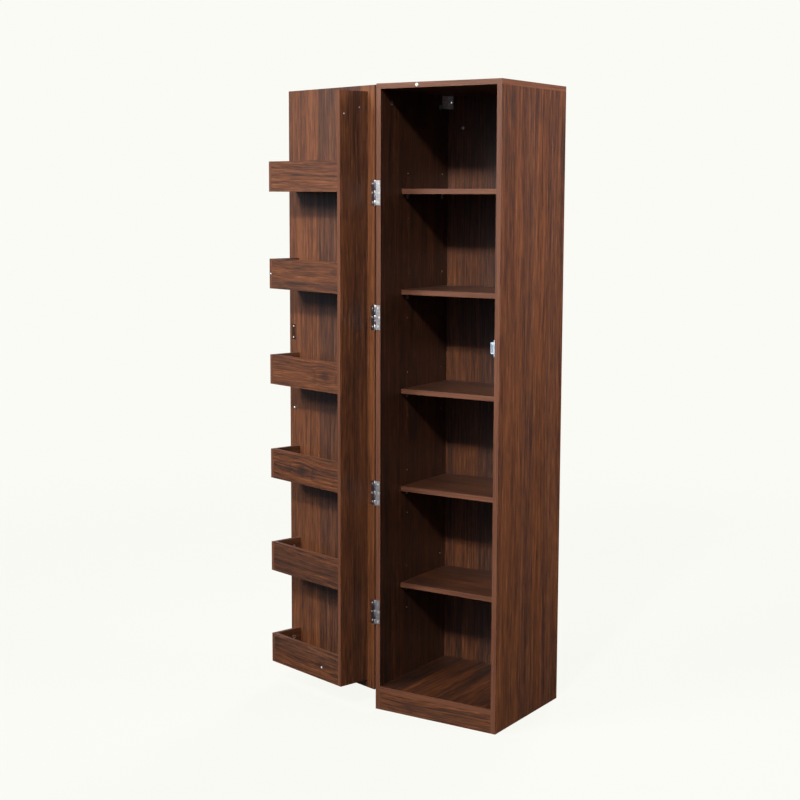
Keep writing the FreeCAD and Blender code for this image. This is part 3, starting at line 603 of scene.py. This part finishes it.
paint(HINGE_STEEL, "hinge_pins", *[f"hinge_leaf_cabinet_{number}" for number in range(1, 5)])
# Door leaves: the darker copy of the hinge steel, painted shade.
paint(SHADED_LEAF_STEEL, *[f"hinge_leaf_door_{number}" for number in range(1, 5)])
paint(PLATE_STEEL, "catch_pole_plates", "shelf_supports")
# Wall bracket: the brighter copy of the plate steel, a painted highlight.
paint(HIGHLIGHTED_BRACKET_STEEL, "wall_bracket")
paint(STRIKE_STEEL, "strike_plate")
paint(SCREW_STEEL, "cam_bolts_cabinet", "cam_bolts_door")
paint(KNOB_METAL, "door_knob")
paint(MAGNET, "catch_magnet")
paint(CATCH_WHITE, "catch_housing")
paint(BEECH, "dowels_cabinet", "dowels_door")

# ---------------------------------------------------------------------------------------------------
# Screws, cam locks and bumper dots, each where the CAD has its plain stand-in

Y_AXIS = Vector((0, 1, 0))
DOOR_X = OPEN.to_3x3() @ Vector((1, 0, 0))
DOOR_Y = OPEN.to_3x3() @ Y_AXIS


def solids(name):
    """The separate solids of a CAD node, each as its list of points."""
    shape = bmesh.new()
    shape.from_mesh(NODES[name].data)
    bmesh.ops.remove_doubles(shape, verts=shape.verts, dist=WELD)
    seen, groups = set(), []
    for start in shape.verts:
        if start in seen:
            continue
        group, edge = [], [start]
        seen.add(start)
        while edge:
            vertex = edge.pop()
            group.append(vertex.co.copy())
            near = {link.other_vert(vertex) for link in vertex.link_edges} - seen
            seen |= near
            edge.extend(near)
        groups.append(group)
    shape.free()
    return groups


def lathe(profile, segments=28):
    """A closed solid turned about Z from radius and height pairs that start and end on the axis."""
    shape = bmesh.new()
    rings = []
    for radius, height in profile:
        turns = 1 if radius == 0 else segments
        ring = []
        for turn in range(turns):
            angle = 2 * math.pi * turn / segments
            x, y = radius * math.cos(angle), radius * math.sin(angle)
            ring.append(shape.verts.new((x, y, height)))
        rings.append(ring)
    for above, below in zip(rings, rings[1:]):
        for turn in range(segments):
            after = (turn + 1) % segments
            corners = [above[turn % len(above)], below[turn % len(below)]]
            corners += [below[after % len(below)], above[after % len(above)]]
            shape.faces.new(list(dict.fromkeys(corners)))
    bmesh.ops.recalc_face_normals(shape, faces=shape.faces)
    return shape


def cross(reach, width, depth):
    """A tapered cross that stands a little proud of Z = 0, to cut a driver's recess."""
    shape = bmesh.new()
    outline = []
    for quarter in range(4):
        turn = Matrix.Rotation(math.pi / 2 * quarter, 2)
        outline += [turn @ Vector(p) for p in ((reach, -width), (reach, width), (width, width))]
    rings = []
    for height, scale in ((0.2 * depth, 1.08), (-depth, 0.45)):
        rings.append([shape.verts.new((*(corner * scale), height)) for corner in outline])
    shape.faces.new(rings[0])
    shape.faces.new(rings[1][::-1])
    for index in range(len(outline)):
        after = (index + 1) % len(outline)
        shape.faces.new((rings[0][index], rings[1][index], rings[1][after], rings[0][after]))
    bmesh.ops.recalc_face_normals(shape, faces=shape.faces)
    return shape


def carved(body, tool, smooth):
    """The body with the tool cut out of it, as a mesh."""
    pair = []
    for name, shape in (("body", body), ("tool", tool)):
        mesh = bpy.data.meshes.new(name)
        shape.to_mesh(mesh)
        shape.free()
        pair.append(bpy.data.objects.new(name, mesh))
        bpy.context.scene.collection.objects.link(pair[-1])
    cut = pair[0].modifiers.new("cut", "BOOLEAN")
    cut.object = pair[1]
    cut.solver = "EXACT"
    evaluated = pair[0].evaluated_get(bpy.context.evaluated_depsgraph_get())
    mesh = bpy.data.meshes.new_from_object(evaluated)
    for obj in pair:
        bpy.data.objects.remove(obj)
    if smooth:
        mesh.shade_smooth()
        mesh.set_sharp_from_angle(angle=math.radians(35))
    return mesh


def head_profile(kind, radius, height):
    """A screw head's outline from its middle to its rim, flat with a slight crown, or a pan."""
    if kind == "flat":
        share = [(0, 0.07), (0.5, 0.055), (0.85, 0.015), (1.0, -0.04)]
        return [(radius * r, radius * h) for r, h in share]
    share = [(0, 0), (0.4, -0.04), (0.72, -0.17), (0.93, -0.42), (1.0, -0.72), (1.0, -1.0)]
    return [(radius * r, height * h) for r, h in share]


def screw(kind, radius, shank, height, length):
    """A screw along -Z: head with a cross recess, shank with rings for its thread, point."""
    neck, pitch, point = 0.6 * MM, 1.2 * MM, 1.6 * MM
    root = 0.74 * shank
    profile = head_profile(kind, radius, height)
    start = height + neck
    profile.append((shank, -height))
    rings = max(int((length - start - point) / pitch), 1)
    for ring in range(rings):
        profile.append((root, -start - ring * pitch))
        profile.append((shank, -start - (ring + 0.5) * pitch))
    profile += [(root, -start - rings * pitch), (0, -length)]
    return carved(lathe(profile), cross(0.55 * radius, 0.13 * radius, 0.42 * radius), True)


def as_mesh(name, shape):
    """The shape as a mesh; the shape is used up."""
    mesh = bpy.data.meshes.new(name)
    shape.to_mesh(mesh)
    shape.free()
    return mesh


def dome(radius, height):
    """A bumper dot: a low dome with a short straight rim."""
    share = [(0, 0), (0.45, -0.08), (0.75, -0.28), (0.93, -0.6), (1, -0.9), (1, -1), (0, -1)]
    mesh = as_mesh("dome", lathe([(radius * r, height * h) for r, h in share]))
    mesh.shade_smooth()
    return mesh


def placed(copies):
    """Meshes set at the outer ends of solids, from triples of solid, outward direction and mesh."""
    shape = bmesh.new()
    for index, (group, away, template) in enumerate(copies):
        turn = away.to_track_quat("Z", "Y").to_matrix()
        local = [turn.transposed() @ point for point in group]
        middle = [(min(p[i] for p in local) + max(p[i] for p in local)) / 2 for i in (0, 1)]
        end = Vector((*middle, max(p.z for p in local)))
        spin = Matrix.Rotation(math.radians(37 + 53 * index), 3, "Z")
        copy = template.copy()
        copy.transform((turn @ spin).to_4x4())
        copy.transform(Matrix.Translation(turn @ end))
        shape.from_mesh(copy)
        bpy.data.meshes.remove(copy)
    return shape


def stand_in(node, mesh, material, body):
    """A finer mesh in the place of a CAD node."""
    mesh.materials.clear()
    mesh.materials.append(material)
    obj = bpy.data.objects.new(f"fine_{node}", mesh)
    bpy.context.scene.collection.objects.link(obj)
    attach(obj, body)
    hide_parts(node)


def fasten(node, body, away, template):
    """Screws in the place of a node's plain ones; away gives each one's outward direction."""
    copies = [(group, away(group), template) for group in solids(node)]
    stand_in(node, as_mesh(node, placed(copies)), SCREW_STEEL, body)


def from_wall(group):
    """Out of the nearer side wall, towards the cabinet's middle."""
    return Vector((-1 if group[0].x > 0 else 1, 0, 0))


def to_front(group):
    """Out of the cabinet's front edges, or of its back panel's inner face."""
    return -Y_AXIS


def to_rack(group):
    """Out of the door's inner face."""
    return DOOR_Y


FLAT_SCREW = screw("flat", 3.0 * MM, 1.4 * MM, 1.2 * MM, 13.2 * MM)
FIXING_SCREW = screw("pan", 2.6 * MM, 1.4 * MM, 1.6 * MM, 15.6 * MM)
ANCHOR_SCREW = screw("pan", 5.5 * MM, 2.2 * MM, 2.0 * MM, 9.5 * MM)
KNOB_SCREW = screw("pan", 4.0 * MM, 2.0 * MM, 2.2 * MM, 26.2 * MM)

fasten("hinge_screws_cabinet", "cabinet", to_front, FLAT_SCREW)
fasten("door_screws", "door", to_rack, FLAT_SCREW)
fasten("fixing_screws", "cabinet", from_wall, FIXING_SCREW)
fasten("anchor_screw", "cabinet", to_front, ANCHOR_SCREW)
fasten("knob_screw", "door", to_rack, KNOB_SCREW)

LOW_CAMS = 100 * MM  # the bottom panel's cams lie below this height, the side panels' above it
MID_DOOR = 200 * MM  # from the hinge axis to about the middle of the door


def from_board(group):
    """Out of the board a cam sits in: down from the bottom panel, inwards from a side panel."""
    if max(point.z for point in group) < LOW_CAMS:
        return Vector((0, 0, -1))
    return from_wall(group)


def from_rack_board(group):
    """Out of a rack board, towards the baskets between the side board and the end boards."""
    return DOOR_X if (group[0] - PIN).dot(DOOR_X) < MID_DOOR else -DOOR_X


def drive_cams(node, body, away, reach):
    """Cuts a driver's cross into each cam of a node, keeping the cams' own shape."""
    cams = bmesh.new()
    cams.from_mesh(NODES[node].data)
    bmesh.ops.remove_doubles(cams, verts=cams.verts, dist=WELD)
    tool = as_mesh("cross", cross(reach, 0.2 * reach, 3.0 * MM))
    crosses = placed([(group, away(group), tool) for group in solids(node)])
    stand_in(node, carved(cams, crosses, False), CAM_ZINC, body)


drive_cams("cam_locks_cabinet", "cabinet", from_board, 4.6 * MM)
drive_cams("cam_locks_door", "door", from_rack_board, 3.6 * MM)


def stick_on(node, body, copies):
    """Bumper dots in the place of a node's plain ones."""
    stand_in(node, as_mesh(node, placed(copies)), BUMPER_WHITE, body)


def rack_dot(group):
    """A large dot faces the baskets' front, a small one the rack side board's outer face."""
    depths = [point.dot(DOOR_Y) for point in group]
    if max(depths) - min(depths) < 2 * MM:
        return group, DOOR_Y, dome(2.8 * MM, 1.5 * MM)
    return group, -DOOR_X, dome(1.8 * MM, 1.5 * MM)


def top_dot(group):
    """The dot on the top panel's front edge."""
    return group, -Y_AXIS, dome(5.0 * MM, 2.0 * MM)


stick_on("top_bumper", "cabinet", [top_dot(group) for group in solids("top_bumper")])
stick_on("rack_bumpers", "door", [rack_dot(group) for group in solids("rack_bumpers")])

# ---------------------------------------------------------------------------------------------------
# Studio

WHITE = (0.965, 0.962, 0.915)
FLOOR_RADIUS = 5.0

# The lights' powers in watts, and the strength of the room's light.
KEY = 82
FILL = 60
SIDE = 42
BEHIND = 60
ROOM = 0.28


def floor_paper():
    """A pale surface, lit from within so that shadows on it stay faint, which fades out far off."""
    material, g = new_material("floor_paper")
    point = g.place(STILL)
    parts = g.split(point)
    squares = [g.math("POWER", part, 2.0) for part in (parts[0], parts[1])]
    away = g.math("SQRT", g.math("ADD", *squares))
    clouds = g.noise(point, 0.6, 2.0)
    paper = g.node("ShaderNodeBsdfDiffuse")
    g.feed(paper.inputs["Color"], g.mix(clouds, (0.050, 0.050, 0.048), (0.046, 0.046, 0.044)))
    glow = g.node("ShaderNodeEmission")
    glow.inputs["Color"].default_value = (*WHITE, 1)
    glow.inputs["Strength"].default_value = 0.93
    lit = g.node("ShaderNodeAddShader")
    g.feed(lit.inputs[0], paper.outputs[0])
    g.feed(lit.inputs[1], glow.outputs[0])
    clear = g.node("ShaderNodeBsdfTransparent")
    fade = g.node("ShaderNodeMixShader")
    g.feed(fade.inputs[0], g.spread(away, 1.2, 4.5))
    g.feed(fade.inputs[1], lit.outputs[0])
    g.feed(fade.inputs[2], clear.outputs[0])
    output = g.node("ShaderNodeOutputMaterial")
    g.feed(output.inputs["Surface"], fade.outputs[0])
    return material


def floor():
    """The disc the cabinet stands on. It catches shadows, but throws no light back."""
    mesh = bpy.data.meshes.new("studio_floor")
    shape = bmesh.new()
    bmesh.ops.create_circle(shape, cap_ends=True, radius=FLOOR_RADIUS, segments=96)
    shape.to_mesh(mesh)
    shape.free()
    obj = bpy.data.objects.new("studio_floor", mesh)
    bpy.context.scene.collection.objects.link(obj)
    mesh.materials.append(floor_paper())
    obj.visible_diffuse = False
    obj.visible_glossy = False


def aim(obj, place, target):
    """Puts a light at a place and points it at the target."""
    obj.location = place
    obj.rotation_mode = "QUATERNION"
    obj.rotation_quaternion = (target - place).to_track_quat("-Z", "Y")


def softbox(name, azimuth, distance, height, size, spread, power, colour, mirrored=True):
    """A soft light with a grid that narrows its beam, aimed at the top of the cabinet's front.

    Azimuth 0 is in front, positive to the right. A light that isn't mirrored leaves no reflection.
    """
    light = bpy.data.lights.new(name, "AREA")
    light.shape = "SQUARE"
    light.size = size
    light.spread = math.radians(spread)
    light.energy = power
    light.color = colour
    obj = bpy.data.objects.new(name, light)
    obj.visible_glossy = mirrored
    bpy.context.scene.collection.objects.link(obj)
    turn = math.radians(azimuth)
    place = Vector((distance * math.sin(turn), -distance * math.cos(turn), height))
    aim(obj, place, Vector((0.0, 0.0, cad_box[1].z)))


def studio():
    """Four soft lights in a dim room, which the camera sees as a plain pale backdrop."""
    scene = bpy.context.scene
    scene.view_settings.view_transform = "Standard"
    world = bpy.data.worlds.new("studio")
    world.use_nodes = True
    world.node_tree.nodes.clear()
    g = Graph(world.node_tree)
    backdrop = g.node("ShaderNodeBackground")
    backdrop.inputs["Color"].default_value = (*WHITE, 1)
    backdrop.inputs["Strength"].default_value = 1.0
    room = g.node("ShaderNodeBackground")
    height = g.split(g.node("ShaderNodeTexCoord").outputs["Generated"])[2]
    dim, cool = (0.12, 0.11, 0.10), (0.95, 1.07, 1.30)
    g.feed(room.inputs["Color"], g.mix(g.spread(height, -0.20, 0.12), dim, cool))
    room.inputs["Strength"].default_value = ROOM
    mix = g.node("ShaderNodeMixShader")
    g.feed(mix.inputs[0], g.node("ShaderNodeLightPath").outputs["Is Camera Ray"])
    g.feed(mix.inputs[1], room.outputs[0])
    g.feed(mix.inputs[2], backdrop.outputs[0])
    output = g.node("ShaderNodeOutputWorld")
    g.feed(output.inputs["Surface"], mix.outputs[0])
    scene.world = world
    softbox("key_left", -32.5, 7.2, 6.2, 4.2, 50, KEY, (1.0, 0.965, 0.91))
    softbox("fill_front", 12, 7.7, 6.5, 0.7, 50, FILL, (1.0, 0.98, 0.96))
    softbox("side_right", 106, 5.0, 2.2, 1.6, 60, SIDE, (1.0, 0.96, 0.89), mirrored=False)
    softbox("behind", 192, 6.5, 5.0, 1.8, 60, BEHIND, (1.0, 0.98, 0.96), mirrored=False)


def camera():
    """Eye level with the top basket, from the cabinet's right front."""
    lens = bpy.data.cameras.new("camera")
    lens.sensor_width = 36
    lens.lens = 68.86
    lens.shift_y = -0.02
    obj = bpy.data.objects.new("camera", lens)
    bpy.context.scene.collection.objects.link(obj)
    obj.location = (2.201, -3.610, 1.496)
    obj.rotation_euler = (math.radians(90 - 7.092), math.radians(-0.175), math.radians(32.799))
    bpy.context.scene.camera = obj


floor()
studio()
camera()
